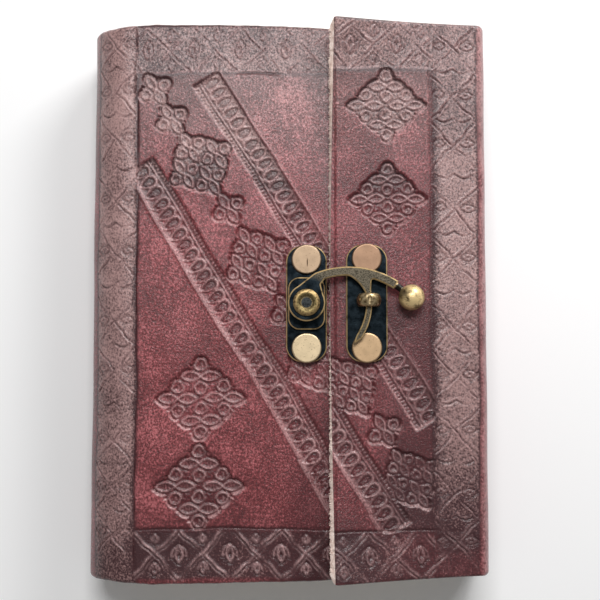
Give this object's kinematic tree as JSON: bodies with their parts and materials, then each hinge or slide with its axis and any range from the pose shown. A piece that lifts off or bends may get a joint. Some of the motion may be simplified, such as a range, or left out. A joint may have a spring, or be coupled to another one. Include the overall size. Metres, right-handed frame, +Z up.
{
  "type": "leather wrap diary with clasp",
  "caption": "Handmade diary of sewn paper sections in an embossed leather wrap, its fore-edge flap held over the front cover by a bronze swing-hook clasp.",
  "frame": {"origin": "middle of the outline on the table under the back cover", "axes": "+X from the spine to the fore-edge, +Y up the page, +Z up from the back cover to the front"},
  "size_m": [0.1158, 0.158, 0.0351],
  "materials": {
    "embossed_leather": "satin",
    "lining_paper": "matte",
    "handmade_paper": "matte",
    "linen_thread": "matte",
    "backing_cloth": "matte",
    "antique_bronze": "aged satin",
    "rubbed_brass": "aged satin",
    "rivet_brass": "brushed satin"
  },
  "bodies": {
    "book": {"back_cover_leather": "embossed_leather", "spine_leather": "embossed_leather", "back_lining": "lining_paper", "section_1": "handmade_paper", "section_2": "handmade_paper", "section_3": "handmade_paper", "section_4": "handmade_paper", "section_5": "handmade_paper", "section_6": "handmade_paper", "sewing_thread": "linen_thread", "spine_cloth": "backing_cloth"},
    "front_cover": {"front_cover_leather": "embossed_leather", "front_lining": "lining_paper", "pivot_plate": "antique_bronze", "pivot_rivet": "rubbed_brass", "front_rivet_heads": "rivet_brass", "front_rivet_caps": "rivet_brass"},
    "hook": {"swing_hook": "antique_bronze"},
    "fore_edge": {"fore_edge_leather": "embossed_leather"},
    "flap": {"flap_leather": "embossed_leather", "catch_plate": "antique_bronze", "catch_loop": "rubbed_brass", "flap_rivet_heads": "rivet_brass", "flap_rivet_caps": "rivet_brass"},
    "front_flyleaf_body": {"front_flyleaf": "handmade_paper"},
    "leaf_1_body": {"leaf_1": "handmade_paper"},
    "leaf_2_body": {"leaf_2": "handmade_paper"},
    "leaf_3_body": {"leaf_3": "handmade_paper"},
    "leaf_4_body": {"leaf_4": "handmade_paper"}
  },
  "joints": [
    {"name": "hook_swing", "type": "hinge", "parent": "front_cover", "child": "hook", "pos_m": [0.0054, -0.0016, 0.02945], "axis": [0, 0, 1], "range_deg": [0, 180]},
    {"name": "cover_open", "type": "hinge", "parent": "book", "child": "front_cover", "pos_m": [-0.04548, 0, 0.02485], "axis": [0, -1, 0], "range_deg": [0, 180], "deforming": ["front_cover_leather", "front_lining"]},
    {"name": "fore_edge_fold", "type": "hinge", "parent": "book", "child": "fore_edge", "pos_m": [0.057, 0, 0.0009], "axis": [0, 1, 0], "range_deg": [0, 90]},
    {"name": "flap_fold", "type": "hinge", "parent": "fore_edge", "child": "flap", "pos_m": [0.057, 0, 0.02655], "axis": [0, 1, 0], "range_deg": [0, 78], "deforming": ["flap_leather"]},
    {"name": "front_flyleaf_turn", "type": "hinge", "parent": "book", "child": "front_flyleaf_body", "pos_m": [-0.04548, 0, 0.02485], "axis": [0, -1, 0], "range_deg": [0, 172], "deforming": ["front_flyleaf"]},
    {"name": "leaf_1_turn", "type": "hinge", "parent": "book", "child": "leaf_1_body", "pos_m": [-0.04548, 0, 0.02485], "axis": [0, -1, 0], "range_deg": [0, 159], "deforming": ["leaf_1"]},
    {"name": "leaf_2_turn", "type": "hinge", "parent": "book", "child": "leaf_2_body", "pos_m": [-0.04548, 0, 0.02485], "axis": [0, -1, 0], "range_deg": [0, 127], "deforming": ["leaf_2"]},
    {"name": "leaf_3_turn", "type": "hinge", "parent": "book", "child": "leaf_3_body", "pos_m": [-0.04548, 0, 0.02485], "axis": [0, -1, 0], "range_deg": [0, 73], "deforming": ["leaf_3"]},
    {"name": "leaf_4_turn", "type": "hinge", "parent": "book", "child": "leaf_4_body", "pos_m": [-0.04548, 0, 0.02485], "axis": [0, -1, 0], "range_deg": [0, 22], "deforming": ["leaf_4"]}
  ],
  "couplings": [
    {"joint": "flap_fold", "follows": "fore_edge_fold", "ratio": 0.8666},
    {"joint": "front_flyleaf_turn", "follows": "cover_open", "ratio": 0.95},
    {"joint": "leaf_1_turn", "follows": "cover_open", "ratio": 0.88},
    {"joint": "leaf_2_turn", "follows": "cover_open", "ratio": 0.7},
    {"joint": "leaf_3_turn", "follows": "cover_open", "ratio": 0.4},
    {"joint": "leaf_4_turn", "follows": "cover_open", "ratio": 0.12}
  ]
}
